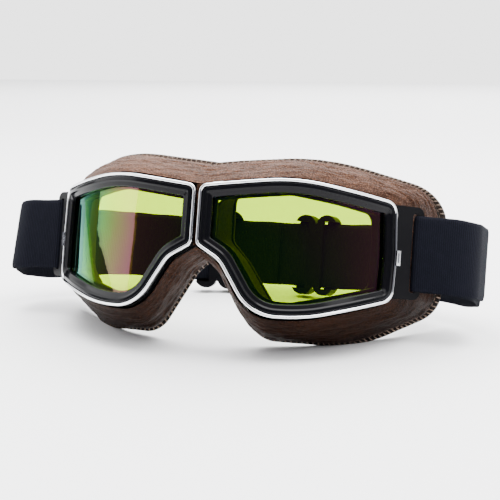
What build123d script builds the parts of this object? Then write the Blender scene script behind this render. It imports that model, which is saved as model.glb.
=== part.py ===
from build123d import *
import os
from math import sin, cos, radians, sqrt

os.makedirs("parts", exist_ok=True)

# Motorcycle goggles, millimetres.  Modelled upright in the goggles' own frame:
# X across the face (+X is the right-hand side seen from in front), +Y from the
# lenses towards the wearer, +Z up, origin at the middle of the bridge.  Every
# piece is then leaned back and set down on Z = 0 the way the goggles rest.
LEAN = 14.4             # how far the top leans back when resting, degrees
REST_Y = -66.07         # centres the resting goggles on Y
REST_Z = 52.60          # lifts the lowest point to Z = 0

# ---- lens frames: curved plates about an upright axis on each side ----
FRONT_R = 103.0         # front face of the chrome rims
AXIS_X = 1.9            # sideways position of each half's axis
RIM_BACK_R = 99.6
RING_FRONT_R = 102.7    # black lens ring
RING_SEAT_R = 99.1      # lens seats against this
RING_BACK_R = 96.0
LENS_BACK_R = 97.5
SHELL_FRONT_R = 95.95   # moulded back shell
SHELL_BACK_R = 92.0
RIM_W = 1.4             # widths measured inwards from the rim's outer edge
SEAT_W = 4.85
RING_W = 6.4
GASKET_W = 7.4
SHELL_W = 6.2
CLEAR = 0.05

EDGE = 98.3 / FRONT_R   # angle round to the temple edge
# rim outline as two outlines that overlap in the middle: (across, up, corner radius), each running
# on past the middle, where the other one takes over
NOSE_SIDE = [(0.8, 26.3, 4), (120.0, 42.5, 4), (120.0, -31.5, 4), (27.2, -31.5, 20), (12.1, -7.6, 13),
             (0.8, -1.0, 4)]
TEMPLE_SIDE = [(-110.0, 39.3, 4), (-1.7, 25.7, 7), (0.1, 0, 60), (-1.0, -20.4, 8), (-110.0, -47.0, 4)]
TEMPLE_PLANE = Plane(origin=(AXIS_X + FRONT_R * sin(EDGE), FRONT_R - FRONT_R * cos(EDGE), 0),
                     x_dir=(cos(EDGE), sin(EDGE), 0), z_dir=(sin(EDGE), -cos(EDGE), 0))

# ---- face pad ----
COVER_T = 1.8           # leather
COVER_FRONT_R = 98.5    # the leather comes forward round the shell to the back of the chrome rim
FACE_R = 120.0          # curve of the side that lies on the face
FACE_Y = 31.0           # depth of that curve at the nose
BIND_D = 3.4            # depth of the bound edge
PAD_TURN = 28.5         # heading of the plane each pad half is lofted on
NOSE_GAP = 1.0          # half gap between the two pad halves at the front
# outer edge at the frame (unrolled) and at the face (across, up), with corner radii
PAD_FRONT = [(-13, 27.6, 7), (42.8, 33.3, 110), (98.0, 26.9, 8), (99.8, 0, 60), (98.6, -21.6, 9),
             (50.0, -32.8, 100), (24.8, -32.8, 22), (9.4, -9.0, 14), (-13, -2.3, 7)]
PAD_BACK = [(-12, 39.2, 7), (48, 45.9, 120), (102.7, 35.2, 18), (104.2, 6, 70), (102.7, -24.0, 16),
            (68, -43.2, 50), (25, -43.0, 14), (7.2, -13, 14), (-12, -3.5, 7)]
# the opening through the pad, at the frame and at the face
EYE_FRONT = [(5.8, 19.9, 4), (42.8, 25.4, 90), (90.0, 19.5, 5), (91.6, 0, 50), (90.6, -15, 5),
             (49.5, -25.0, 80), (29.0, -25.0, 15), (14.4, -3.4, 14), (5.8, 1.8, 4)]
EYE_BACK = [(9.5, 26.5, 7), (46, 31.5, 110), (88, 23.5, 9), (89, 4, 60), (87.5, -13, 9),
            (62, -29, 50), (33, -29, 12), (18.5, -7, 16), (9.5, 3, 6)]

# ---- strap ----
BAND_W = 35.6
BAND_T = 1.4
BAND_Z = 3.0            # height of the strap's middle
LAYER = 1.6             # step from one strap layer to the next
HINGE_Y = 12.9          # bridge hinge axis, also the centre of the strap's rear sweep
REAR_R = 120.1
SLIDER_AT = 14.0        # degrees round from the middle of the back
SLIDER_W, SLIDER_H = 26.0, 45.0
BAR = (94.1, 54.2)      # middle of the right bracket's strap bar, seen from above
PLATE_TURN = 35.0       # heading of the bracket plate
PLATE_T = 1.8
SLOT_AT = 10.65         # middle of the strap slot, along the plate
REAR_SWEEP = 22.0       # degrees of the strap's back that run on one arc
SWEEP = radians(REAR_SWEEP)


BOXES = []


def place(piece, name):
    """Lean a finished piece back into its resting pose and write it."""
    body = Location((0, REST_Y, REST_Z)) * Rotation(-LEAN, 0, 0) * piece
    body.label = name
    export_step(body, f"parts/{name}.step")
    box = body.bounding_box()
    BOXES.append((box.min.X, box.min.Y, box.min.Z, box.max.X, box.max.Y, box.max.Z))
    print(f"{name:24s} {box.min.X:8.2f} {box.max.X:8.2f} {box.min.Y:8.2f} {box.max.Y:8.2f}"
          f" {box.min.Z:8.2f} {box.max.Z:8.2f}  {body.volume:10.1f} {len(body.solids())}")


def both_sides(right, name):
    """Write the right-hand piece and its mirror image."""
    place(right, f"{name}_right")
    place(right.mirror(Plane.YZ), f"{name}_left")


def rounded_outline(corners, radii):
    """Closed outline with rounded corners, each radius eased where its neighbours are close."""
    fitted = []
    for k, radius in enumerate(radii):
        here, before, after = (Vector(*corners[j % len(corners)]) for j in (k, k - 1, k + 1))
        bend = radians((here - before).get_angle(after - here))
        reach = 0.48 * min((here - before).length, (after - here).length)
        fitted.append(min(radius, reach / max(sin(bend / 2) / cos(bend / 2), 1e-3)))
    return FilletPolyline(*corners, radius=fitted, close=True)


def frame_prism(grow):
    """The frame outline as a solid through its depth, grown by 'grow': its nose side drawn from straight
    in front, its temple side drawn along the temple's own radius."""
    with BuildPart() as body:
        for plane, corners, mode in ((Plane.XZ.offset(20), NOSE_SIDE, Mode.ADD),
                                     (TEMPLE_PLANE.offset(60), TEMPLE_SIDE, Mode.INTERSECT)):
            with BuildSketch(plane):
                with BuildLine():
                    rounded_outline([c[:2] for c in corners], [c[2] for c in corners])
                make_face()
                if grow:
                    offset(amount=grow, mode=Mode.REPLACE)
            extrude(amount=-140, mode=mode)
    return body.part


def curved_plate(grow, hole, back_r, front_r):
    """A plate bent about the half's axis: the frame outline grown by 'grow', less the same grown by 'hole'."""
    with BuildPart() as plate:
        add(frame_prism(grow))
        if hole is not None:
            add(frame_prism(hole), mode=Mode.SUBTRACT)
        with Locations((AXIS_X, FRONT_R, 0)):
            Cylinder(front_r, 110, mode=Mode.INTERSECT)
            Cylinder(back_r, 110, mode=Mode.SUBTRACT)
        with Locations((100.4, 50, 0)):
            Box(200, 140, 140, mode=Mode.INTERSECT)
    return plate.part


# ---------------------------------------------------------------- lens frames
with BuildPart() as rim:
    add(curved_plate(0, -RIM_W, RIM_BACK_R, FRONT_R))

with BuildPart() as lens_ring:
    add(curved_plate(-RIM_W - CLEAR, -RING_W, RING_SEAT_R, RING_FRONT_R))
    add(curved_plate(-RIM_W - CLEAR, -SEAT_W, RING_BACK_R, RING_SEAT_R))

with BuildPart() as lens:
    add(curved_plate(-SEAT_W - CLEAR, None, LENS_BACK_R, RING_SEAT_R - CLEAR))

with BuildPart() as gasket:
    add(curved_plate(-SEAT_W - CLEAR, -GASKET_W, RING_BACK_R, LENS_BACK_R - CLEAR))

with BuildPart() as frame_blank:
    add(curved_plate(0.15, None, SHELL_BACK_R - 0.1, FRONT_R + 2))

with BuildPart() as shell:
    add(curved_plate(0, -SHELL_W, SHELL_BACK_R, SHELL_FRONT_R))


# ---------------------------------------------------------------- pad tooling
turn = radians(PAD_TURN)
PAD_PLANE = Plane(origin=(0, 0, 0), x_dir=(cos(turn), sin(turn), 0), z_dir=(sin(turn), -cos(turn), 0))
DEPTHS = (-4.0, 13.0, 32.0)     # depths of the loft sections behind that plane


def pad_corner(x, y):
    """Position along, and depth behind, the pad plane of a point seen from above."""
    return x * cos(turn) + y * sin(turn), y * cos(turn) - x * sin(turn)


def tapered(front, front_r, back, grow):
    """Loft through the corners of a front outline (on the frame) and a back outline (on the face)."""
    sections = []
    for depth in DEPTHS:
        corners = []
        radii = []
        for (u, v, r0), (x, z, r1) in zip(front, back):
            s0, d0 = pad_corner(AXIS_X + front_r * sin(u / FRONT_R), FRONT_R - front_r * cos(u / FRONT_R))
            s1, d1 = pad_corner(x, FACE_Y + FACE_R - sqrt(FACE_R ** 2 - x ** 2))
            t = max(-0.6, min(1.12, (depth - d0) / (d1 - d0)))
            corners.append((s0 + t * (s1 - s0), v + t * (z - v)))
            radii.append(r0 + max(0, min(1, t)) * (r1 - r0))
        with BuildSketch(PAD_PLANE.offset(-depth)) as section:
            with BuildLine():
                rounded_outline(corners, radii)
            make_face()
            if grow:
                offset(amount=grow, mode=Mode.REPLACE)
        sections.append(section.sketch)
    with BuildPart() as body:
        loft(sections, ruled=True)
    return body.part


def behind_frame(radius):
    """Everything further back than a given radius of the frame's curve."""
    with BuildPart() as drum:
        with Locations((AXIS_X, FRONT_R, 0)):
            Cylinder(radius, 130)
    return drum.part


def before_face(gap):
    """Everything in front of the face curve, stopping 'gap' short of it."""
    with BuildPart() as block:
        with Locations((60, 60, 0)):
            Box(180, 160, 130)
        with Locations((0, FACE_Y + FACE_R, 0)):
            Cylinder(FACE_R + gap, 140, mode=Mode.SUBTRACT)
    return block.part


with BuildPart() as half_space:             # this half's side of the nose, opening slightly to the back
    with BuildSketch(Plane.XY.offset(-70)):
        with BuildLine():
            Polyline((NOSE_GAP, -10), (150, -10), (150, 130), (NOSE_GAP + 3.4, 130), close=True)
        make_face()
    extrude(amount=140)


def outer(grow):
    return tapered(PAD_FRONT, COVER_FRONT_R, PAD_BACK, grow)


def eye(grow):
    return tapered(EYE_FRONT, SHELL_BACK_R, EYE_BACK, grow)


# ---------------------------------------------------------------- temple bracket, its screws and the clip
edge_dir, inward = (cos(EDGE), sin(EDGE)), (-sin(EDGE), cos(EDGE))


def edge_plane(radius, height):
    """Plane seen from above, on the temple edge: x on round the curve, y in towards the wearer."""
    return Plane(origin=(AXIS_X + radius * sin(EDGE), FRONT_R - radius * cos(EDGE), height),
                 x_dir=(*edge_dir, 0), z_dir=(0, 0, 1))


def bracket_body(spare):
    """Strap plate and the rib it stands on; 'spare' thickens both, to cut room for them."""
    with BuildPart() as body:
        with BuildSketch(edge_plane(95.8, BAND_Z - 17 - spare)):
            with Locations((-1.0, 0)):
                Rectangle(6.4 + 2 * spare, 7.3 + 2 * spare)
        extrude(amount=34 + 2 * spare)
        with Locations((AXIS_X, FRONT_R, 0)):
            Cylinder(RIM_BACK_R - 0.1, 140, mode=Mode.INTERSECT)
        slope = radians(PLATE_TURN)
        plate = Plane(origin=(83.6, 45.6, BAND_Z), x_dir=(cos(slope), sin(slope), 0),
                      z_dir=(sin(slope), -cos(slope), 0))
        with BuildSketch(plate.offset(spare)):
            with Locations((3.8, 0)):
                RectangleRounded(22.4 + 2 * spare, 44 + 2 * spare, 4)
        extrude(amount=-PLATE_T - 2 * spare)
        if not spare:
            with BuildSketch(plate):
                with Locations((SLOT_AT, 0)):
                    RectangleRounded(3.1, 37.4, 1.2)
            extrude(amount=-PLATE_T, mode=Mode.SUBTRACT)
        add(frame_blank.part, mode=Mode.SUBTRACT)
    return body.part


with BuildPart() as screws:                 # two small cross-pan screws through the rib into the shell
    for z in (BAND_Z + 11, BAND_Z - 11):
        seat = edge_plane(94.0, z)
        axis = Plane(origin=seat.from_local_coords((2.25, 0, 0)), x_dir=(0, 0, 1), z_dir=(*edge_dir, 0))
        with BuildSketch(axis):
            Circle(1.5)
        extrude(amount=0.9)
        with BuildSketch(axis):
            Circle(0.8)
        extrude(amount=-6.4)

with BuildPart() as screw_holes:
    for z in (BAND_Z + 11, BAND_Z - 11):
        seat = edge_plane(94.0, z)
        axis = Plane(origin=seat.from_local_coords((4, 0, 0)), x_dir=(0, 0, 1), z_dir=(*edge_dir, 0))
        with BuildSketch(axis):
            Circle(0.85)
        extrude(amount=-8.4)

with BuildPart() as bracket:
    add(bracket_body(0))
    add(screw_holes.part, mode=Mode.SUBTRACT)
    # keep the rib in front of the pad
    with Locations((AXIS_X, FRONT_R, 0)):
        Cylinder(SHELL_BACK_R + 0.1, 140, mode=Mode.SUBTRACT)

with BuildPart() as shell_drilled:
    add(shell.part)
    add(screw_holes.part, mode=Mode.SUBTRACT)

with BuildPart() as clip:                   # small clamp that closes the split in the rim
    with BuildSketch(edge_plane(FRONT_R, -3.5)):
        with Locations((-0.2, -0.5)):
            Rectangle(2.4, 0.8)
        with Locations((0.6, 0.45)):
            Rectangle(0.8, 2.7)
    extrude(amount=7)
    with BuildSketch(edge_plane(FRONT_R, -2.3)):
        with Locations((-0.3, -0.5)):
            Rectangle(0.9, 0.9)
    extrude(amount=4.6, mode=Mode.SUBTRACT)

# ---------------------------------------------------------------- bridge hinge
KNUCKLE_R, PIN_R = 1.7, 0.8


def hinge_leaf(spans):
    with BuildPart() as leaf:
        with Locations((4.3, 11.6, 13)):
            Box(4.6, 0.8, 20)
        for low, high in spans:
            mid, tall = (low + high) / 2, high - low
            with Locations((0, HINGE_Y, mid)):
                Cylinder(KNUCKLE_R, tall)
            with Locations((1.2, 11.6, mid)):
                Box(2.4, 0.8, tall - 0.2)
            with Locations((0, HINGE_Y, mid)):
                Cylinder(PIN_R + 0.05, tall, mode=Mode.SUBTRACT)
    return leaf.part


with BuildPart() as hinge_pin:
    with Locations((0, HINGE_Y, 13.0)):
        Cylinder(PIN_R, 23.6)
    for z in (1.5, 24.5):
        with Locations((0, HINGE_Y, z)):
            Cylinder(1.3, 0.6)

# ---------------------------------------------------------------- pad
with BuildPart() as leather:
    add(outer(0))
    add(outer(-COVER_T), mode=Mode.SUBTRACT)
    for zone in (half_space.part, behind_frame(RIM_BACK_R - 0.2), before_face(BIND_D + 0.1)):
        add(zone, mode=Mode.INTERSECT)
    add(frame_blank.part, mode=Mode.SUBTRACT)
    add(bracket_body(0.35), mode=Mode.SUBTRACT)
    with BuildSketch(edge_plane(94.0, BAND_Z - 14)):
        with Locations((1.2, 0)):
            Rectangle(5.2, 5)
    extrude(amount=28, mode=Mode.SUBTRACT)

with BuildPart() as binding:                # rolled edge that closes the leather onto the lining
    add(outer(0.3))
    add(outer(-4.1), mode=Mode.SUBTRACT)
    add(half_space.part, mode=Mode.INTERSECT)
    add(before_face(0), mode=Mode.INTERSECT)
    add(before_face(BIND_D), mode=Mode.SUBTRACT)

with BuildPart() as foam:
    add(outer(-COVER_T - 0.1))
    add(eye(1.3), mode=Mode.SUBTRACT)
    for zone in (half_space.part, behind_frame(SHELL_BACK_R - 0.2), before_face(BIND_D + 0.1)):
        add(zone, mode=Mode.INTERSECT)
    with Locations((0, 10, 13.2)):
        Box(15, 10.6, 25, mode=Mode.SUBTRACT)

with BuildPart() as face_lining:            # soft layer that lies on the face
    add(outer(-4.2))
    add(eye(1.3), mode=Mode.SUBTRACT)
    add(half_space.part, mode=Mode.INTERSECT)
    add(before_face(0.2), mode=Mode.INTERSECT)
    add(before_face(BIND_D), mode=Mode.SUBTRACT)

with BuildPart() as eye_lining:             # cloth wall round the eye opening
    add(eye(1.2))
    add(eye(0), mode=Mode.SUBTRACT)
    for zone in (half_space.part, behind_frame(SHELL_BACK_R - 0.2), before_face(0.2)):
        add(zone, mode=Mode.INTERSECT)
    with Locations((0, 10, 13.2)):
        Box(15, 10.6, 25, mode=Mode.SUBTRACT)


# ---------------------------------------------------------------- strap


def band(path, low, high):
    """Upright ribbon along a path drawn from above."""
    with BuildPart() as ribbon:
        with BuildSketch(Plane.XY.offset(low)):
            trace(path.wires()[0].edges(), BAND_T)
        extrude(amount=high - low)
    return ribbon.part


def sweep_start(rear_r, lead):
    """Where the strap's side meets its rear arc, and a corner 'lead' before that on the same line."""
    meet = Vector(rear_r * sin(SWEEP), HINGE_Y + rear_r * cos(SWEEP))
    return meet, meet + Vector(cos(SWEEP), -sin(SWEEP)) * lead


def outer_band(rear_r, past_middle):
    meet, corner = sweep_start(rear_r, 73.4)
    with BuildLine() as path:
        CenterArc(BAR, 2.3, 90, 180)
        FilletPolyline((BAR[0], BAR[1] - 2.3), (120.5, 51.9), (125, 80), corner, meet, radius=(13, 16, 16))
        CenterArc((0, HINGE_Y), rear_r, 90 - REAR_SWEEP, REAR_SWEEP + past_middle)
    return band(path, BAND_Z - BAND_W / 2, BAND_Z + BAND_W / 2)


def return_band(rear_r):
    meet, corner = sweep_start(rear_r, 72.6)
    with BuildLine() as path:
        FilletPolyline((BAR[0] + 0.6, BAR[1] + 2.4), (101, 53.65), (119, 53.65), (123.2, 79.5), corner, meet,
                       radius=(8, 11, 14, 14))
        CenterArc((0, HINGE_Y), rear_r, 90 - REAR_SWEEP, REAR_SWEEP - 10.5)
    return band(path, BAND_Z - BAND_W / 2 - 0.6, BAND_Z + BAND_W / 2 - 0.6)


def strap_slider(rear_r):
    """Three-bar slider bent to the strap's sweep; rear_r is the radius of its own strap's outer layer."""
    inside, outside = rear_r - LAYER - 1.0, REAR_R + 1.0
    back = radians(SLIDER_AT)
    view = Plane(origin=(0, HINGE_Y, BAND_Z), x_dir=(cos(back), -sin(back), 0), z_dir=(sin(back), cos(back), 0))
    with BuildPart() as channel:
        with Locations((0, HINGE_Y, BAND_Z)):
            Cylinder(outside, 37.8)
            Cylinder(inside, 37.8, mode=Mode.SUBTRACT)
    with BuildPart() as body:
        with BuildSketch(view.offset(100)):
            Rectangle(SLIDER_W, SLIDER_H - 11)
            with GridLocations(SLIDER_W / 2, SLIDER_H - SLIDER_W / 2, 2, 2):
                Circle(SLIDER_W / 4)
        extrude(amount=40)
        with Locations((0, HINGE_Y, 0)):
            Cylinder(outside + 1.9, 90, mode=Mode.INTERSECT)
            Cylinder(inside - 1.9, 90, mode=Mode.SUBTRACT)
        add(channel.part, mode=Mode.SUBTRACT)
        with BuildSketch(view.offset(rear_r - 0.8)):            # window between the outer bars
            Rectangle(9.4, 37.8)
        extrude(amount=20, mode=Mode.SUBTRACT)
        with BuildSketch(view.offset(rear_r - 0.8)):            # windows either side of the middle bar
            with GridLocations(18.4, 0, 2, 1):
                Rectangle(9.0, 37.8)
        extrude(amount=-20, mode=Mode.SUBTRACT)
    return body.part


# ---------------------------------------------------------------- write every piece
both_sides(rim.part, "rim")
both_sides(lens_ring.part, "lens_ring")
both_sides(lens.part, "lens")
both_sides(gasket.part, "lens_gasket")
both_sides(shell_drilled.part, "back_shell")
both_sides(clip.part, "temple_clip")
both_sides(bracket.part, "strap_bracket")
both_sides(screws.part, "bracket_screws")
place(hinge_leaf([(2, 8.9), (17.1, 24)]), "hinge_leaf_right")
place(hinge_leaf([(9.0, 17.0)]).mirror(Plane.YZ), "hinge_leaf_left")
place(hinge_pin.part, "hinge_pin")
both_sides(leather.part, "leather_cover")
both_sides(binding.part, "edge_binding")
both_sides(foam.part, "foam_core")
both_sides(face_lining.part, "face_lining")
both_sides(eye_lining.part, "eye_lining")
place(outer_band(REAR_R, 3), "strap_band_right")
place(outer_band(REAR_R - LAYER, 3).mirror(Plane.YZ), "strap_band_left")
place(return_band(REAR_R - LAYER), "strap_return_right")
place(return_band(REAR_R - 2 * LAYER).mirror(Plane.YZ), "strap_return_left")
place(strap_slider(REAR_R), "strap_slider_right")
place(strap_slider(REAR_R - LAYER).mirror(Plane.YZ), "strap_slider_left")
print("overall", [(round(min(b[k] for b in BOXES), 2), round(max(b[k + 3] for b in BOXES), 2)) for k in range(3)])
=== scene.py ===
from math import sin, cos, tan, radians, pi, ceil

import bpy
import numpy as np
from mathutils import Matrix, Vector


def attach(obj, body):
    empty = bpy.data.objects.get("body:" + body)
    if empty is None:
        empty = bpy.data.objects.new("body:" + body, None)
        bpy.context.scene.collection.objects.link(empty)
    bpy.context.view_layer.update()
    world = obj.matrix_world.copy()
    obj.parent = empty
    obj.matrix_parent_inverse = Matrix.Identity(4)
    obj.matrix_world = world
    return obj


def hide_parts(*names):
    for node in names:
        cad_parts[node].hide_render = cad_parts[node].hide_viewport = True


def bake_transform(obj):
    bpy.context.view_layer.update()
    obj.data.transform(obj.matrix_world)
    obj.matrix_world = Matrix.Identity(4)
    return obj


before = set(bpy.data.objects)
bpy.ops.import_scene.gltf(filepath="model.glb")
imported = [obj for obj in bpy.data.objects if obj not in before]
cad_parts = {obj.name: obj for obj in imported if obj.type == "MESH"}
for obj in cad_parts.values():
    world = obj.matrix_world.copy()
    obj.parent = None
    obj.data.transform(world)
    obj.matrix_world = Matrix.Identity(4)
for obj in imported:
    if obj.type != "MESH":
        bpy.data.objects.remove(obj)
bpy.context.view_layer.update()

# ------------------------------------------------------------------ the goggles' own upright frame, in mm
LEAN, REST_Y, REST_Z = radians(14.4), -66.07, 52.60
FRONT_R, AXIS_X = 103.0, 1.9            # frame fronts lie on upright cylinders
FACE_R, FACE_Y = 120.0, 31.0            # the pad's back edge lies on this one
COVER_R, SHELL_R = 98.5, 92.0           # where the leather and the eye wall start behind the frame
LENS_FRONT_R, LENS_BACK_R = 99.05, 97.56
BEAD_R = 102.2                          # the rim is chrome from here forwards; its sides behind are painted black as painted shade
BAND_Z, BAND_T, HINGE_Y = 3.0, 1.4, 12.9


def rest(points):
    """Points in the goggles' own frame (mm) to the row frame (m): lean back, then set down."""
    p = np.asarray(points, float)
    x, y, z = p[..., 0], p[..., 1], p[..., 2]
    back, up = y * cos(LEAN) + z * sin(LEAN) + REST_Y, z * cos(LEAN) - y * sin(LEAN) + REST_Z
    return np.stack([x, back, up], -1) / 1000


def mirror(points):
    return np.asarray(points, float) * (-1, 1, 1)


# ------------------------------------------------------------------ meshes
def mesh_object(name, points, faces, uv=None, flip=False):
    """points in the goggles' own frame; uv is one pair per point."""
    faces = [tuple(reversed(f)) for f in faces] if flip else faces
    mesh = bpy.data.meshes.new(name)
    mesh.from_pydata([tuple(p) for p in rest(points).reshape(-1, 3)], [], faces)
    if uv is not None:
        layer = mesh.uv_layers.new(name="UVMap")
        uv = np.asarray(uv, float).reshape(-1, 2)
        index = np.zeros(len(mesh.loops), np.int32)
        mesh.loops.foreach_get("vertex_index", index)
        layer.data.foreach_set("uv", uv[index].astype(np.float32).ravel())
    mesh.polygons.foreach_set("use_smooth", [True] * len(mesh.polygons))
    mesh.validate()
    mesh.update()
    obj = bpy.data.objects.new(name, mesh)
    bpy.context.scene.collection.objects.link(obj)
    return obj


def grid_faces(rows, cols, wrap_rows=False, wrap_cols=False, start=0):
    faces = []
    for i in range(rows if wrap_rows else rows - 1):
        for j in range(cols if wrap_cols else cols - 1):
            a, b = (i + 1) % rows, (j + 1) % cols
            here, there = start + i * cols, start + a * cols
            faces.append((here + j, here + b, there + b, there + j))
    return faces


def rounded(corners, grow=0.0, spacing=0.7, closed=True, marks=False):
    """Outline through (a, b, radius) corners, moved outwards by grow, every outline of one list
    having the same number of points whatever its grow; marks adds the place of each corner's middle."""
    p = np.array([c[:2] for c in corners], float)
    radius = [c[2] for c in corners]
    n = len(p)
    edge = np.roll(p, -1, 0) - p
    length = np.linalg.norm(edge, axis=1)
    way = edge / length[:, None]
    out = np.stack([-way[:, 1], way[:, 0]], 1)
    moved, arcs = [], []
    for i in range(n):
        if not closed and i in (0, n - 1):
            moved.append(p[i] + grow * out[0 if i == 0 else n - 2])
            continue
        share = 1 + out[i - 1] @ out[i]
        moved.append(p[i] + grow * (out[i - 1] + out[i]) / share)
    moved = np.array(moved)
    for i in range(n):
        if not closed and i in (0, n - 1):
            arcs.append((moved[i], moved[i], [moved[i]]))
            continue
        a, b = way[i - 1], way[i]
        bend = np.arccos(np.clip(a @ b, -1, 1))
        convex = a[0] * b[1] - a[1] * b[0] < 0
        count = max(5, ceil(radius[i] * bend / spacing))
        reach = 0.48 * min(np.linalg.norm(moved[i] - moved[i - 1]),
                           np.linalg.norm(moved[(i + 1) % n] - moved[i])) if closed or marks else 1e3
        r = min(max(0.7, radius[i] + (grow if convex else -grow)), reach / max(tan(bend / 2), 1e-4))
        back = r * tan(bend / 2)
        start = moved[i] - a * back
        side = np.array([a[1], -a[0]]) if convex else np.array([-a[1], a[0]])
        centre = start + side * r
        points = []
        for k in range(count + 1):
            turn = bend * k / count * (-1 if convex else 1)
            c, s = cos(turn), sin(turn)
            v = start - centre
            points.append(centre + np.array([c * v[0] - s * v[1], s * v[0] + c * v[1]]))
        arcs.append((points[0], points[-1], points))
    line, middles = [], []
    for i in range(n):
        middles.append(len(line) + len(arcs[i][2]) // 2)
        line.extend(arcs[i][2])
        if not closed and i == n - 1:
            break
        a, b = arcs[i][1], arcs[(i + 1) % n][0]
        steps = max(3, ceil(max(length[i] - 8, 2) / spacing))
        line.extend(a + (b - a) * k / steps for k in range(1, steps))
    return (np.array(line), middles) if marks else np.array(line)


def wrap(outline, radius):
    """Unrolled (round, up) points laid on the frame's cylinder of that radius."""
    turn = outline[:, 0] / FRONT_R
    radius = np.broadcast_to(radius, turn.shape)
    return np.stack([AXIS_X + radius * np.sin(turn), FRONT_R - radius * np.cos(turn), outline[:, 1]], 1)


def on_face(outline, before=0.0):
    """(across, up) points laid on the face curve."""
    x = outline[:, 0]
    return np.stack([x, FACE_Y + FACE_R - np.sqrt((FACE_R + before) ** 2 - x ** 2), outline[:, 1]], 1)


def both_sides(name, points, faces):
    """The right-hand piece and its mirror image."""
    return (mesh_object(name + "_right", points, faces),
            mesh_object(name + "_left", mirror(points), faces, flip=True))


def swept(name, corners, profile):
    """Ring with a rounded profile of (grow, radius, corner radius) carried round an outline; both sides."""
    rows = [wrap(rounded(corners, g), r) for g, r in rounded(profile, 0, PROFILE_STEP)]
    return both_sides(name, np.array(rows), grid_faces(len(rows), len(rows[0]), True, True))


PROFILE_STEP = 0.22                     # point spacing round a rim's or ring's profile

# outlines seen from the front, as (across, up, corner radius); the right half, and the left mirrors it
RIM = [(-1.1, 26.3, 4), (42.8, 32.1, 110), (96.6, 25.7, 7), (98.4, 0, 60), (97.3, -20.4, 8),
       (50.0, -31.5, 100), (25.6, -31.5, 22), (10.2, -7.6, 14), (-1.1, -1.0, 4)]
PAD_FRONT = [(-1.9, 27.0, 0), (42.8, 33.1, 110), (97.8, 26.8, 8), (99.5, 0, 60), (98.4, -21.5, 9),
             (50.0, -32.6, 100), (24.9, -32.6, 22), (9.5, -8.8, 14), (-1.9, -1.9, 0)]
PAD_BACK = [(0, 39.9, 0), (48, 45.5, 120), (102.2, 35.2, 20), (103.6, 6, 70), (102.2, -24.2, 17),
            (69, -43.0, 50), (25, -42.6, 14), (7.4, -13, 14), (0, -6.0, 0)]
EYE_FRONT = [(5.8, 19.9, 4), (42.8, 25.4, 90), (90.0, 19.5, 5), (91.6, 0, 50), (90.6, -15, 5),
             (49.5, -25.0, 80), (29.0, -25.0, 15), (14.4, -3.4, 14), (5.8, 1.8, 4)]
EYE_BACK = [(9.5, 26.5, 7), (46, 31.5, 110), (88, 23.5, 9), (89, 4, 60), (87.5, -13, 9),
            (62, -29, 50), (33, -29, 12), (18.5, -7, 16), (9.5, 3, 6)]

# ------------------------------------------------------------------ materials


def material(name, colour, rough, metal=0.0, **sockets):
    mat = bpy.data.materials.new(name)
    mat.use_nodes = True
    bsdf = mat.node_tree.nodes["Principled BSDF"]
    bsdf.inputs["Base Color"].default_value = (*colour, 1)
    bsdf.inputs["Roughness"].default_value = rough
    bsdf.inputs["Metallic"].default_value = metal
    for key, value in sockets.items():
        bsdf.inputs[key.replace("_", " ")].default_value = value
    return mat


class Nodes:
    """Short names for building node trees."""

    def __init__(self, mat):
        self.tree = mat.node_tree
        self.bsdf = self.tree.nodes.get("Principled BSDF")

    def add(self, kind, inputs=None, **settings):
        node = self.tree.nodes.new(kind)
        for key, value in settings.items():
            setattr(node, key, value)
        for key, value in (inputs or {}).items():
            if isinstance(value, bpy.types.NodeSocket):
                self.tree.links.new(value, node.inputs[key])
            else:
                node.inputs[key].default_value = value
        return node

    def link(self, a, b):
        self.tree.links.new(a, b)

    def math(self, op, a, b=0.0):
        node = self.add("ShaderNodeMath", operation=op)
        for k, v in enumerate((a, b)):
            if isinstance(v, bpy.types.NodeSocket):
                self.link(v, node.inputs[k])
            else:
                node.inputs[k].default_value = v
        return node.outputs[0]

    def ramp(self, fac, stops):
        node = self.add("ShaderNodeValToRGB", {"Fac": fac})
        while len(node.color_ramp.elements) < len(stops):
            node.color_ramp.elements.new(0.5)
        for e, (at, colour) in zip(node.color_ramp.elements, stops):
            e.position = at
            e.color = (*colour, 1) if len(colour) == 3 else colour
        return node.outputs["Color"]

    def bump(self, height, distance, strength=1.0, normal=None):
        ins = {"Height": height, "Distance": distance, "Strength": strength}
        if normal is not None:
            ins["Normal"] = normal
        return self.add("ShaderNodeBump", ins).outputs["Normal"]


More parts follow.
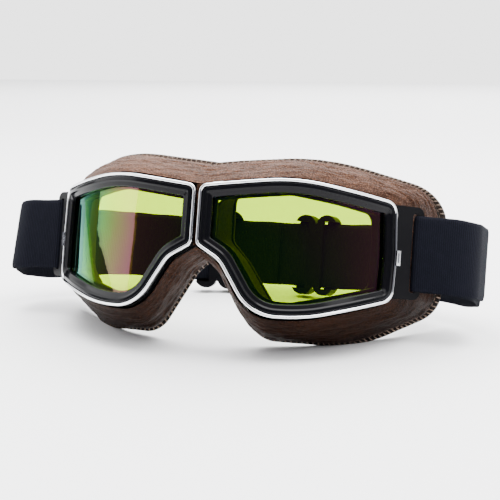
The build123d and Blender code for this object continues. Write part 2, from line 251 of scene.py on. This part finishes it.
def leather(name, dark, mid, pale, rough=0.46):
    """Grained hide; UVs in mm, u round the edge and v from the frame to the face."""
    mat = material(name, mid, rough, Specular_IOR_Level=0.06)
    n = Nodes(mat)
    where = n.add("ShaderNodeTexCoord").outputs["Object"]
    uv = n.add("ShaderNodeUVMap").outputs["UV"]
    drawn = n.add("ShaderNodeMapping", {"Vector": uv, "Scale": (0.26, 0.85, 1.0)}).outputs["Vector"]
    cloud = n.add("ShaderNodeTexNoise", {"Vector": where, "Scale": 45.0, "Detail": 5.0, "Roughness": 0.6})
    fine = n.add("ShaderNodeTexNoise", {"Vector": where, "Scale": 1100.0, "Detail": 4.0, "Roughness": 0.65})
    grain = n.add("ShaderNodeTexVoronoi", {"Vector": where, "Scale": 850.0}, feature="DISTANCE_TO_EDGE")
    folds = n.add("ShaderNodeTexNoise", {"Vector": drawn, "Scale": 1.0, "Detail": 4.0, "Roughness": 0.62,
                                         "Distortion": 0.6})
    ridge = n.math("ABSOLUTE", n.math("SUBTRACT", folds.outputs["Fac"], 0.5))
    ridge = n.math("POWER", n.math("MINIMUM", n.math("MULTIPLY", ridge, 5.5), 1.0), 0.6)
    crease = n.math("MULTIPLY", n.math("MINIMUM", grain.outputs["Distance"], 0.25), 4.0)
    shade = n.math("ADD", n.math("MULTIPLY", cloud.outputs["Fac"], 0.38),
                   n.math("ADD", n.math("MULTIPLY", crease, 0.26), n.math("MULTIPLY", ridge, 0.22)))
    shade = n.math("ADD", shade, n.math("MULTIPLY", fine.outputs["Fac"], 0.14))
    # painted light: the leather is made paler towards the top and darker towards the bottom, as the light
    # from above falls on it
    height_for_painted_light = n.add("ShaderNodeSeparateXYZ", {"Vector": where}).outputs["Z"]
    shade = n.math("ADD", shade, n.math("SUBTRACT", n.math("MULTIPLY", height_for_painted_light, 5.5), 0.30))
    n.link(n.ramp(shade, [(0.15, dark), (0.52, mid), (0.86, pale)]), n.bsdf.inputs["Base Color"])
    wear = n.math("ADD", rough - 0.12, n.math("MULTIPLY", fine.outputs["Fac"], 0.26))
    n.link(wear, n.bsdf.inputs["Roughness"])
    first = n.bump(crease, 0.00030, 0.8)
    second = n.bump(ridge, 0.00055, 0.85, first)
    n.link(n.bump(fine.outputs["Fac"], 0.0003, 0.5, second), n.bsdf.inputs["Normal"])
    return mat


def woven(name, colour, lift):
    """Ribbed elastic, a rib every 0.95 mm; UVs in mm, u along the strap and v across it."""
    rib_step, yarn_step = 0.95, 0.62
    mat = material(name, colour, 0.85, Specular_IOR_Level=0.06)
    n = Nodes(mat)
    uv = n.add("ShaderNodeUVMap").outputs["UV"]
    split = n.add("ShaderNodeSeparateXYZ", {"Vector": uv})
    u, v = split.outputs["X"], split.outputs["Y"]
    rib = n.math("ABSOLUTE", n.math("SINE", n.math("MULTIPLY", u, pi / rib_step)))
    shift = n.math("MULTIPLY", n.math("FLOOR", n.math("DIVIDE", u, rib_step)), 0.5)
    stagger = n.math("ADD", n.math("DIVIDE", v, yarn_step), shift)
    yarn = n.math("ABSOLUTE", n.math("SINE", n.math("MULTIPLY", stagger, pi)))
    weave = n.math("MULTIPLY", n.math("POWER", rib, 0.6), n.math("POWER", yarn, 0.5))
    fuzz = n.add("ShaderNodeTexNoise", {"Vector": uv, "Scale": 3.2, "Detail": 4.0}).outputs["Fac"]
    tone = n.math("ADD", n.math("MULTIPLY", weave, 0.7), n.math("MULTIPLY", fuzz, 0.35))
    n.link(n.ramp(tone, [(0.1, tuple(c * 0.35 for c in colour)), (0.55, colour), (1.0, lift)]),
           n.bsdf.inputs["Base Color"])
    n.link(n.bump(weave, 0.00022, 0.8, n.bump(fuzz, 0.0001, 0.4)), n.bsdf.inputs["Normal"])
    return mat


def plastic(name, colour, rough, grain=0.0, shine=0.11):
    mat = material(name, colour, rough, Specular_IOR_Level=shine)
    n = Nodes(mat)
    where = n.add("ShaderNodeTexCoord").outputs["Object"]
    smear = n.add("ShaderNodeTexNoise", {"Vector": where, "Scale": 35.0, "Detail": 3.0}).outputs["Fac"]
    n.link(n.math("ADD", rough - 0.05, n.math("MULTIPLY", smear, 0.10)), n.bsdf.inputs["Roughness"])
    if grain:
        texture = n.add("ShaderNodeTexNoise", {"Vector": where, "Scale": 1800.0, "Detail": 2.0})
        n.link(n.bump(texture.outputs["Fac"], 0.0001, grain), n.bsdf.inputs["Normal"])
    return mat


def chrome(name, rough=0.05):
    mat = material(name, (0.86, 0.87, 0.89), rough, 1.0)
    n = Nodes(mat)
    where = n.add("ShaderNodeTexCoord").outputs["Object"]
    haze = n.add("ShaderNodeTexNoise", {"Vector": where, "Scale": 90.0, "Detail": 4.0}).outputs["Fac"]
    n.link(n.math("ADD", rough - 0.02, n.math("MULTIPLY", haze, 0.06)), n.bsdf.inputs["Roughness"])
    n.link(n.bump(haze, 0.00004, 0.25), n.bsdf.inputs["Normal"])
    return mat


def tinted_lens(name):
    """Clear yellow plate that adds the reflection of a film of uneven thickness (590 to 680 nm)."""
    mat = material(name, (0, 0, 0), 0.02, IOR=1.5, Specular_IOR_Level=0.11, Thin_Film_IOR=1.36)
    n = Nodes(mat)
    where = n.add("ShaderNodeTexCoord").outputs["Object"]
    film = n.add("ShaderNodeTexNoise", {"Vector": where, "Scale": 22.0, "Detail": 1.5})
    depth = n.math("ADD", 590.0, n.math("MULTIPLY", film.outputs["Fac"], 90.0))
    n.link(depth, n.bsdf.inputs["Thin Film Thickness"])
    through = n.add("ShaderNodeBsdfTransparent", {"Color": (0.520, 0.655, 0.0, 1)})
    both = n.add("ShaderNodeAddShader")
    n.link(through.outputs[0], both.inputs[0])
    n.link(n.bsdf.outputs[0], both.inputs[1])
    n.link(both.outputs[0], n.tree.nodes["Material Output"].inputs["Surface"])
    return mat


BROWN = leather("leather", (0.006, 0.0022, 0.0011), (0.044, 0.0170, 0.0086), (0.190, 0.086, 0.048))
EDGE = leather("leather_edge", (0.004, 0.0025, 0.002), (0.020, 0.0115, 0.008), (0.080, 0.048, 0.033), 0.5)
THREAD = material("thread", (0.13, 0.082, 0.058), 0.8)
THREAD_PALE = material("thread_edge", (0.22, 0.155, 0.115), 0.8)
BAND = woven("elastic", (0.0035, 0.0040, 0.0075), (0.011, 0.012, 0.020))
# painted shade: the return layer gets a darker copy of the same elastic, as it lies under the outer band
BAND_SHADED = woven("elastic_inner_painted_shade", (0.003, 0.0035, 0.006), (0.009, 0.010, 0.016))
CHROME = chrome("chrome")
CLIP = chrome("clip_chrome", 0.09)
BLACK = plastic("ring_black", (0.003, 0.003, 0.004), 0.14)
SHELL = plastic("shell_black", (0.006, 0.006, 0.007), 0.42, 0.3)
PLATE = plastic("bracket_black", (0.003, 0.003, 0.004), 0.34, 0.15)
SLIDER = plastic("slider_black", (0.003, 0.003, 0.004), 0.34, 0.1)
GASKET = plastic("gasket", (0.006, 0.006, 0.006), 0.7, 0.4, 0.20)
LENS = tinted_lens("lens")
STEEL = material("steel", (0.55, 0.55, 0.56), 0.3, 1.0)


def cloth(name, colour, lift, scale):
    mat = material(name, colour, 0.9, Specular_IOR_Level=0.06)
    n = Nodes(mat)
    where = n.add("ShaderNodeTexCoord").outputs["Object"]
    noise = {"Vector": where, "Scale": scale, "Detail": 5.0, "Roughness": 0.7}
    nap = n.add("ShaderNodeTexNoise", noise).outputs["Fac"]
    n.link(n.ramp(nap, [(0.3, colour), (0.7, lift)]), n.bsdf.inputs["Base Color"])
    n.link(n.bump(nap, 0.0003, 0.6), n.bsdf.inputs["Normal"])
    return mat


LINING = cloth("face_cloth", (0.008, 0.007, 0.006), (0.024, 0.021, 0.019), 1500.0)
WALL = cloth("eye_cloth", (0.030, 0.024, 0.014), (0.075, 0.060, 0.034), 700.0)


def paint(obj, mat):
    obj.data.materials.clear()
    obj.data.materials.append(mat)
    return obj


def put(pair, mat, node):
    for obj, side in zip(pair, ("right", "left")):
        paint(obj, mat)
        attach(obj, f"half_{side}")
        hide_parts(f"{node}_{side}")


# ------------------------------------------------------------------ lens frames
RIM_SECTION = [(0.0, 99.62, 0.4), (0.0, 101.6, 0.1), (0.0, FRONT_R, 0.7), (-1.4, FRONT_R, 0.6),
               (-1.4, 99.62, 0.2)]
RING_SECTION = [(-1.46, 96.05, 0.2), (-1.46, 102.1, 0.35), (-1.95, 102.68, 0.25), (-3.5, 102.68, 0.3),
                (-4.3, 102.0, 0.3), (-6.0, 101.45, 0.3), (-6.4, 101.0, 0.15), (-6.4, 99.12, 0.2),
                (-4.86, 99.12, 0.15), (-4.86, 96.05, 0.2)]
pair = swept("chrome_rim", RIM, RIM_SECTION)
put(pair, CHROME, "rim")
depths = [r for _, r in rounded(RIM_SECTION, 0, PROFILE_STEP)]
for obj in pair:                        # the chrome rim's sides behind the bead are painted black: painted shade in place of the chrome's reflections there
    obj.data.materials.append(BLACK)
    across = len(obj.data.polygons) // len(depths)
    for poly in obj.data.polygons:
        if depths[poly.index // across] < BEAD_R:
            poly.material_index = 1
put(swept("black_ring", RIM, RING_SECTION), BLACK, "lens_ring")


LENS_EDGE = -4.95                       # the lens ends this far inside the rim's outline


def lens_plate():
    """Curved plate: loops of the outline drawn in towards its middle, front then back."""
    outline = rounded(RIM, LENS_EDGE, 1.0)
    middle = np.array([48.0, 2.0])
    shares = [0.0, 0.12, 0.25, 0.38, 0.5, 0.62, 0.74, 0.85, 0.94, 0.985, 1.0]
    rows = []
    for order, radius in ((shares, LENS_FRONT_R), (shares[::-1], LENS_BACK_R)):
        for s in order:
            rows.append(wrap(middle + (outline - middle) * max(s, 0.002), radius))
    return np.array(rows), grid_faces(len(rows), len(outline), False, True)


points, faces = lens_plate()
pair = (mesh_object("lens_right_glass", points, faces, flip=True),
        mesh_object("lens_left_glass", mirror(points), faces))
put(pair, LENS, "lens")

# ------------------------------------------------------------------ leather mask, one piece across the nose


def stretch_out(points_, count_):
    """count_ evenly spaced points along an open line, without its last one."""
    d = np.concatenate([[0], np.cumsum(np.linalg.norm(np.diff(points_, axis=0), axis=1))])
    want = np.linspace(0, d[-1], count_, endpoint=False)
    return np.stack([np.interp(want, d, points_[:, k]) for k in range(points_.shape[1])], 1)


def matched(outlines, spacing, closed):
    """Outlines of (corners, lay, grow) with equal point counts, each corner's middle facing the other's."""
    lines, marks = [], []
    for corners, lay, grow in outlines:
        line, middles = rounded(corners, grow, 0.5, closed, True)
        line = lay(line)
        if closed:
            line = np.roll(line, -middles[0], 0)
            middles = [m - middles[0] for m in middles] + [len(line)]
            line = np.vstack([line, line[:1]])
        lines.append(line)
        marks.append(middles)
    out = [[] for _ in lines]
    for i in range(len(marks[0]) - 1):
        parts = [line[m[i]:m[i + 1] + 1] for line, m in zip(lines, marks)]
        n = ceil(max(np.linalg.norm(np.diff(p, axis=0), axis=1).sum() for p in parts) / spacing)
        for o, p in zip(out, parts):
            o.append(stretch_out(p, n))
    return [np.vstack(o if closed else o + [line[-1:]]) for o, line in zip(out, lines)]


front, back = matched([(PAD_FRONT, lambda o: wrap(o, COVER_R), 0), (PAD_BACK, on_face, 0)], 0.85, False)
front, back = (np.vstack([l, mirror(l)[::-1][1:-1]]) for l in (front, back))


TUCK_IN, TUCK_UP = 9.0, 2.4


def tucked(points_, weight=1.0):
    """The soft end of the viewer's left pad, pressed in a little towards the middle and up at its top."""
    t = np.clip((-points_[..., 0] - 36) / 60, 0, 1)
    t = weight * t * t * (3 - 2 * t)
    rise = np.clip(points_[..., 2] / 30, 0, 1)
    return points_ + np.stack([TUCK_IN * t, 0 * t, TUCK_UP * t * rise], -1)


back = tucked(back)
around = len(front)


def smooth_noise(rows, cols, cells_r, cells_c, seed):
    """Tileable round the columns; cubic-eased value noise, -1 to 1."""
    gen = np.random.default_rng(seed)
    grid = gen.uniform(-1, 1, (cells_r + 2, cells_c))
    r = np.linspace(0, cells_r, rows)[:, None]
    c = (np.arange(cols) * cells_c / cols)[None, :]
    ri, ci = np.floor(r).astype(int), np.floor(c).astype(int)
    fr, fc = r - ri, c - ci
    fr, fc = fr * fr * (3 - 2 * fr), fc * fc * (3 - 2 * fc)
    a, b = grid[ri, ci % cells_c], grid[ri, (ci + 1) % cells_c]
    d, e = grid[ri + 1, ci % cells_c], grid[ri + 1, (ci + 1) % cells_c]
    return (a * (1 - fc) + b * fc) * (1 - fr) + (d * (1 - fc) + e * fc) * fr


slope = back - front
reach = np.linalg.norm(slope, axis=1)
slope_way = slope / reach[:, None]
along = np.roll(front + back, -1, 0) - np.roll(front + back, 1, 0)
along /= np.linalg.norm(along, axis=1)[:, None]
outward = np.cross(along, slope_way)
outward /= np.linalg.norm(outward, axis=1)[:, None]
if outward[around // 8][2] < 0:
    outward = -outward
for _ in range(12):                     # even the direction out at the corners
    outward = (np.roll(outward, 1, 0) + outward * 2 + np.roll(outward, -1, 0)) / 4
    outward /= np.linalg.norm(outward, axis=1)[:, None]
walked = np.concatenate([[0], np.cumsum(np.linalg.norm(np.diff(back, axis=0), axis=1))])
perimeter = walked[-1] + np.linalg.norm(back[0] - back[-1])

ROWS = 64                               # rows of the skin, from the frame (share 0) to the face (share 1)
STITCH_AT, STITCH_PITCH, OVERLOCK_PITCH = 0.885, 3.3, 2.7
share = np.linspace(0, 1, ROWS)[:, None]
puff = 1.9 * np.sin(pi * np.clip(share / 0.9, 0, 1)) ** 0.7
lean_out = np.clip(reach / 22, 0.35, 1.0)[None, :]
wrinkle = (0.50 * smooth_noise(ROWS, around, 5, 30, 1) + 0.46 * smooth_noise(ROWS, around, 12, 60, 2)
           + 0.30 * smooth_noise(ROWS, around, 22, 120, 3))
stretch = np.sin(pi * np.clip(share, 0, 1)) ** 0.5
stitch_phase = (walked / STITCH_PITCH)[None, :]
pucker = 0.30 * np.abs(np.sin(pi * stitch_phase)) * np.exp(-((share - 0.80) / 0.10) ** 2)
gather = 0.22 * smooth_noise(ROWS, around, 2, int(perimeter / 4.2), 5) * np.exp(-((share - 0.68) / 0.2) ** 2)
groove = -0.55 * np.exp(-((share - STITCH_AT) / 0.022) ** 2)
bead = 0.75 * np.exp(-((share - 0.965) / 0.035) ** 2)
height = puff * lean_out + wrinkle * stretch * lean_out * 0.8 + pucker + gather + groove + bead
skin = front[None] + slope[None] * share[:, :, None] + outward[None] * height[:, :, None]
back_share = share[::-1][:, :, None]
level = front[None] + slope[None] * back_share
inner = level + outward[None] * ((puff * lean_out)[::-1] * 0.5 - 1.35)[:, :, None]
inner = np.where(back_share < 0.42, level + outward[None] * 0.02, inner)   # flat against the frame there
edge_turn = []
for k in range(1, 8):                   # the roll round the edge, from the skin to the inside
    a = pi * k / 8
    top, bottom = skin[-1], inner[0]
    mid, half = (top + bottom) / 2, (top - bottom) / 2
    edge_turn.append(mid + half * cos(a) + slope_way * np.linalg.norm(half, axis=1)[:, None] * sin(a) * 0.9)
shape = np.concatenate([skin, np.array(edge_turn), inner])
gone = np.concatenate([np.zeros((1, around)), np.cumsum(np.linalg.norm(np.diff(shape, axis=0), axis=2), 0)])
from_nose = np.broadcast_to(np.minimum(walked, perimeter - walked), gone.shape)
mask = mesh_object("leather_mask", shape, grid_faces(shape.shape[0], around, True, True),
                   uv=np.stack([from_nose, gone], -1))
paint(mask, BROWN)
mask.data.materials.append(EDGE)
edge_rows = range(int(ROWS * STITCH_AT), ROWS + len(edge_turn) + 1)
for poly in mask.data.polygons:
    if poly.index // around in edge_rows:
        poly.material_index = 1
for s in ("right", "left"):
    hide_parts(f"leather_cover_{s}", f"edge_binding_{s}")
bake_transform(mask)


def threads(name, starts, ends, radius, lift_dirs, mat, arch=0.35):
    """Short stitches, each a bowed six-sided thread from start to end."""
    points, faces = [], []
    for a, b, up in zip(starts, ends, lift_dirs):
        way = (b - a) / max(np.linalg.norm(b - a), 1e-6)
        side = np.cross(way, up)
        side /= max(np.linalg.norm(side), 1e-6)
        base = len(points)
        for k in range(6):
            t = k / 5
            mid = a + (b - a) * t + up * (arch * sin(pi * t) - 0.08)
            r = radius * (0.35 + 0.65 * sin(pi * (0.12 + 0.76 * t)))
            for j in range(6):
                w = 2 * pi * j / 6
                points.append(mid + side * r * cos(w) + up * r * sin(w))
        faces += grid_faces(6, 6, False, True, base)
        faces.append(tuple(base + j for j in range(5, -1, -1)))
        faces.append(tuple(base + 30 + j for j in range(6)))
    obj = mesh_object(name, np.array(points), faces)
    obj.data.materials.append(mat)
    return obj


def at(rows, where, values):
    """Point on the skin at a row share and a distance round the edge."""
    i = np.searchsorted(walked, where % perimeter) - 1
    i = int(np.clip(i, 0, around - 1))
    j = (i + 1) % around
    step = (walked[j] if j else perimeter) - walked[i]
    t = ((where % perimeter) - walked[i]) / max(step, 1e-6)
    r = rows * (ROWS - 1)
    r0 = int(r)
    f = r - r0
    r1 = min(r0 + 1, ROWS - 1)
    line0 = values[r0, i] * (1 - t) + values[r0, j] * t
    line1 = values[r1, i] * (1 - t) + values[r1, j] * t
    return line0 * (1 - f) + line1 * f, outward[i] * (1 - t) + outward[j] * t


STITCH_R = 0.36
count = int(perimeter / STITCH_PITCH)
pitch = perimeter / count
starts, ends, ups = [], [], []
for k in range(count):
    a, up = at(STITCH_AT, (k + 0.14) * pitch, skin)
    b, _ = at(STITCH_AT, (k + 0.82) * pitch, skin)
    starts.append(a + up * 0.10)
    ends.append(b + up * 0.10)
    ups.append(up)
seam = threads("edge_stitching", starts, ends, STITCH_R, ups, THREAD, 0.22)
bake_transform(seam)
starts, ends, ups = [], [], []
count = int(perimeter / OVERLOCK_PITCH)
for k in range(count):
    a, up = at(0.912, (k + 0.5) * perimeter / count, skin)
    b, _ = at(0.998, (k + 0.62) * perimeter / count, skin)
    starts.append(a + up * 0.03)
    ends.append(b + up * 0.02)
    ups.append(up)
whip = threads("edge_overlock", starts, ends, STITCH_R, ups, THREAD_PALE, 0.42)
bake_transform(whip)

# the leather web that closes the gap between the two frames
WEB_SECTION = ((-1.85, 5.0), (-0.9, 4.7), (0, 4.6), (0.9, 4.7), (1.85, 5.0),
               (1.85, 6.2), (0, 6.4), (-1.85, 6.2))
WEB_ROWS, WEB_SIDES = 40, len(WEB_SECTION)
web_rows = []
for z in np.linspace(-1.2, 26.6, WEB_ROWS):
    dip = 0.25 * sin(z * 0.9)
    web_rows.append([(x, y + dip * (1 if y < 5.5 else 0) * cos(x * 0.7), z) for x, y in WEB_SECTION])
web_points = np.array(web_rows)
faces = grid_faces(WEB_ROWS, WEB_SIDES, False, True)
last_row = (WEB_ROWS - 1) * WEB_SIDES
faces += [tuple(range(WEB_SIDES - 1, -1, -1)), tuple(last_row + k for k in range(WEB_SIDES))]
web = mesh_object("nose_web", web_points, faces, uv=web_points[:, :, [2, 0]], flip=True)
paint(web, BROWN)
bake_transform(web)

# ------------------------------------------------------------------ inside of the pad: eye walls, face lining
BACK_HALF = [(0.9, 39.4, 0.6)] + PAD_BACK[1:-1] + [(0.9, -7.0, 0.6)]
LINING_STEP = 1.2
wall_a, wall_b = matched([(EYE_FRONT, lambda o: wrap(o, SHELL_R - 0.4), 0), (EYE_BACK, on_face, 0)],
                         LINING_STEP, True)
steps = 14
rows = [wall_a * (1 - k / (steps - 1)) + wall_b * (k / (steps - 1)) for k in range(steps)]
inner_ring, outer_ring = matched([(EYE_BACK, on_face, 0), (BACK_HALF, on_face, -2.2)], LINING_STEP, True)
wall_thick = []
for r in rows:
    centre_ = r.mean(0)
    away = (r - centre_) * (1, 0, 1)
    away /= np.linalg.norm(away, axis=1)[:, None]
    wall_thick.append(r + away * 1.0)
points = np.array(rows + wall_thick[::-1])
faces = grid_faces(len(points), points.shape[1], True, True)
depth_share = np.linspace(0, 1, steps)
press = np.concatenate([depth_share, depth_share[::-1]])[:, None]
pair = (mesh_object("eye_wall_right", points, faces),
        mesh_object("eye_wall_left", tucked(mirror(points), press), faces, flip=True))
put(pair, WALL, "eye_lining")
LINING_T = 3.2
rows = []
for t in np.arange(16) / 15:
    ring_ = inner_ring * (1 - t) + outer_ring * t
    curve = FACE_Y + FACE_R - np.sqrt(FACE_R ** 2 - np.clip(ring_[:, 0], -110, 110) ** 2)
    ring_[:, 1] = curve + 0.9 * sin(pi * t) - 0.3
    rows.append(ring_)
deep = [r - (0, LINING_T, 0) for r in rows]
points = np.array(rows + deep[::-1])
faces = grid_faces(len(points), points.shape[1], True, True)
pair = (mesh_object("face_cushion_right", points, faces),
        mesh_object("face_cushion_left", tucked(mirror(points)), faces, flip=True))
for obj, side in zip(pair, ("right", "left")):
    paint(obj, LINING)
    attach(obj, f"half_{side}")
    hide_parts(f"face_lining_{side}", f"foam_core_{side}")

# ------------------------------------------------------------------ strap


def arc(cx, cy, r, start, sweep, steps_):
    a = np.radians(start + sweep * np.linspace(0, 1, steps_))
    return np.stack([cx + r * np.cos(a), cy + r * np.sin(a)], 1)


BAR = (94.1, 54.2)                      # middle of the right bracket's strap bar, seen from above
BAR_WRAP = 2.3                          # radius of the turn round it
SWEEP = radians(22)                     # how far the strap's back runs on one arc
LAYER = 1.6                             # step from one strap layer to the next


def strap_path(rear, inner_layer):
    """Centre line of one layer of the band, from the bracket's bar to the middle of the back of the head."""
    meet = np.array([rear * sin(SWEEP), HINGE_Y + rear * cos(SWEEP)])
    lead = np.array([cos(SWEEP), -sin(SWEEP)])
    if inner_layer:
        side = rounded([(94.7, 56.6, 0), (101, 53.65, 8), (119, 53.65, 11), (123.2, 79.5, 14),
                        (*(meet + lead * 72.6), 14), (*meet, 0)], 0, 0.8, False)
        return np.vstack([side, arc(0, HINGE_Y, rear, 68, 11.5, 26)[1:]])
    side = rounded([(BAR[0], BAR[1] - BAR_WRAP, 0), (120.5, 51.9, 13), (125, 80, 16),
                    (*(meet + lead * 73.4), 16), (*meet, 0)], 0, 0.8, False)
    return np.vstack([arc(*BAR, BAR_WRAP, 90, 180, 18)[:-1], side, arc(0, HINGE_Y, rear, 68, 25, 52)[1:]])


BAND_LEAN = 4.0                         # how far its edges lean where the band hangs lowest


def ribbon(name, path, half, middle, droop, flip_side):
    """Upright elastic band, rolled edges, slightly cupped and wavy."""
    d = np.concatenate([[0], np.cumsum(np.linalg.norm(np.diff(path, axis=0), axis=1))])
    tangent = np.gradient(path, d, axis=0)
    tangent /= np.linalg.norm(tangent, axis=1)[:, None]
    side = np.stack([tangent[:, 1], -tangent[:, 0]], 1)
    section = []                          # (across thickness, height share), a flat loop with round edges
    for k in range(25):
        section.append((0.5, -1 + 2 * k / 24))
    for k in range(24, -1, -1):
        section.append((-0.5, -1 + 2 * k / 24))
    rows_, uv = [], []
    for t, h in section:
        tight = (1 - abs(h) ** 14) ** 0.5 if abs(h) < 1 else 0.0
        thick = t * (0.25 + 0.75 * tight) * BAND_T
        wave = 0.12 * np.sin(d * 0.21 + h * 1.7) * h
        bend = np.sin(np.clip((d - 6) / 100, 0, 1) * pi) ** 2
        centre_z = middle + droop * bend
        xy = path + side * (thick + wave * 0.5)[:, None]
        xy = xy + bend[:, None] * (0, BAND_LEAN * h)
        z = centre_z + half * h + 0.12 * np.sin(d * 0.33) * h
        rows_.append(np.column_stack([xy, z]))
        uv.append(np.column_stack([d, np.full(len(d), h * half)]))
    pts = np.array(rows_)
    uvs = np.array(uv)
    faces_ = grid_faces(len(rows_), len(path), True, False)
    n = len(path)
    faces_.append(tuple(r * n for r in range(len(rows_))))
    faces_.append(tuple(r * n + n - 1 for r in range(len(rows_) - 1, -1, -1)))
    if flip_side:
        pts = mirror(pts)
    return mesh_object(name, pts, faces_, uv=uvs, flip=flip_side)


for side, rear, flip_side in (("right", 120.1, False), ("left", 118.5, True)):
    outer_layer = ribbon(f"elastic_band_{side}", strap_path(rear, False), 17.8, BAND_Z, -2.2, flip_side)
    paint(outer_layer, BAND)
    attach(outer_layer, f"half_{side}")
    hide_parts(f"strap_band_{side}")
    under = ribbon(f"elastic_return_{side}", strap_path(rear - LAYER, True), 17.6, BAND_Z - 0.7, -5.0,
                   flip_side)
    # painted shade: the under layer takes the darker copy of the elastic
    paint(under, BAND_SHADED)
    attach(under, f"half_{side}")
    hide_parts(f"strap_return_{side}")

# ------------------------------------------------------------------ CAD pieces that show as they are
LOOKS = {"back_shell": (SHELL, "shell_black"), "lens_gasket": (GASKET, "gasket_rubber"),
         "temple_clip": (CLIP, "clip_chrome"), "strap_bracket": (PLATE, "bracket_black"),
         "bracket_screws": (STEEL, "screw_steel"), "strap_slider": (SLIDER, "slider_black"),
         "hinge_leaf": (STEEL, "hinge_steel")}
BEVELS = {"strap_bracket": 0.00045, "strap_slider": 0.0005, "temple_clip": 0.00018}
for base, (mat, slot) in LOOKS.items():
    for side in ("right", "left"):
        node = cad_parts[f"{base}_{side}"]
        paint(node, mat)
        for poly in node.data.polygons:
            poly.use_smooth = True
        if base in BEVELS:
            bevel = node.modifiers.new("bevel", "BEVEL")
            bevel.width, bevel.segments = BEVELS[base], 3
            bevel.limit_method, bevel.angle_limit = "ANGLE", radians(35)
        normals = node.modifiers.new("normals", "WEIGHTED_NORMAL")
        normals.keep_sharp = True
paint(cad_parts["hinge_pin"], STEEL)

# ------------------------------------------------------------------ floor, light and camera
floor_mat = material("floor", (0.93, 0.93, 0.94), 0.75)
bpy.ops.mesh.primitive_plane_add(size=8, location=(0, 0, 0))
floor = bpy.context.object
floor.name = "floor"
floor.data.materials.append(floor_mat)

world = bpy.data.worlds.new("studio")
bpy.context.scene.world = world
world.use_nodes = True
sky = Nodes(world)
split = sky.add("ShaderNodeSeparateXYZ", {"Vector": sky.add("ShaderNodeTexCoord").outputs["Generated"]})
behind, above = (sky.math("MULTIPLY", split.outputs[axis], part) for axis, part in (("Y", 0.42), ("Z", 0.50)))
glow = sky.ramp(sky.math("ADD", sky.math("ADD", behind, above), 0.42),
                [(0.10, (0.03, 0.03, 0.035)), (0.50, (0.13, 0.13, 0.14)), (0.74, (1, 1, 1))])
sky.link(glow, world.node_tree.nodes["Background"].inputs["Color"])
world.node_tree.nodes["Background"].inputs["Strength"].default_value = 3.0


def softbox(name, where, look, size, power, colour=(1, 1, 1)):
    light = bpy.data.lights.new(name, "AREA")
    light.shape, light.size, light.size_y = "RECTANGLE", size[0], size[1]
    light.energy, light.color = power, colour
    obj = bpy.data.objects.new(name, light)
    bpy.context.scene.collection.objects.link(obj)
    obj.location = where
    obj.rotation_euler = (Vector(look) - Vector(where)).to_track_quat("-Z", "Y").to_euler()
    return obj


softbox("top", (0.0, 0.25, 1.1), (0, 0.12, 0.0), (1.4, 1.0), 46)
softbox("back", (0.0, 2.3, 1.7), (0, 2.0, 0.0), (3.2, 2.0), 130)
softbox("left", (-0.95, -0.25, 0.38), (0, 0, 0.04), (0.6, 0.6), 5)
softbox("right", (0.85, -0.35, 0.55), (0, 0, 0.04), (0.25, 0.5), 2)


def upright(p):
    """A point of the camera's frame, leaned 14 degrees, back to the goggles' own frame."""
    a = radians(14.0)
    return (p[0], p[1] * cos(a) - p[2] * sin(a), p[1] * sin(a) + p[2] * cos(a))


eye_at = Vector(rest(upright((149.0, -413.3, 80.8))))
look_at = Vector(rest(upright((26.6, 0.0, -2.2))))
camera = bpy.data.cameras.new("camera")
camera.lens, camera.sensor_width = 71.6, 36.0
cam = bpy.data.objects.new("camera", camera)
bpy.context.scene.collection.objects.link(cam)
cam.location = eye_at
cam.rotation_euler = (look_at - eye_at).to_track_quat("-Z", "Y").to_euler()
bpy.context.scene.camera = cam
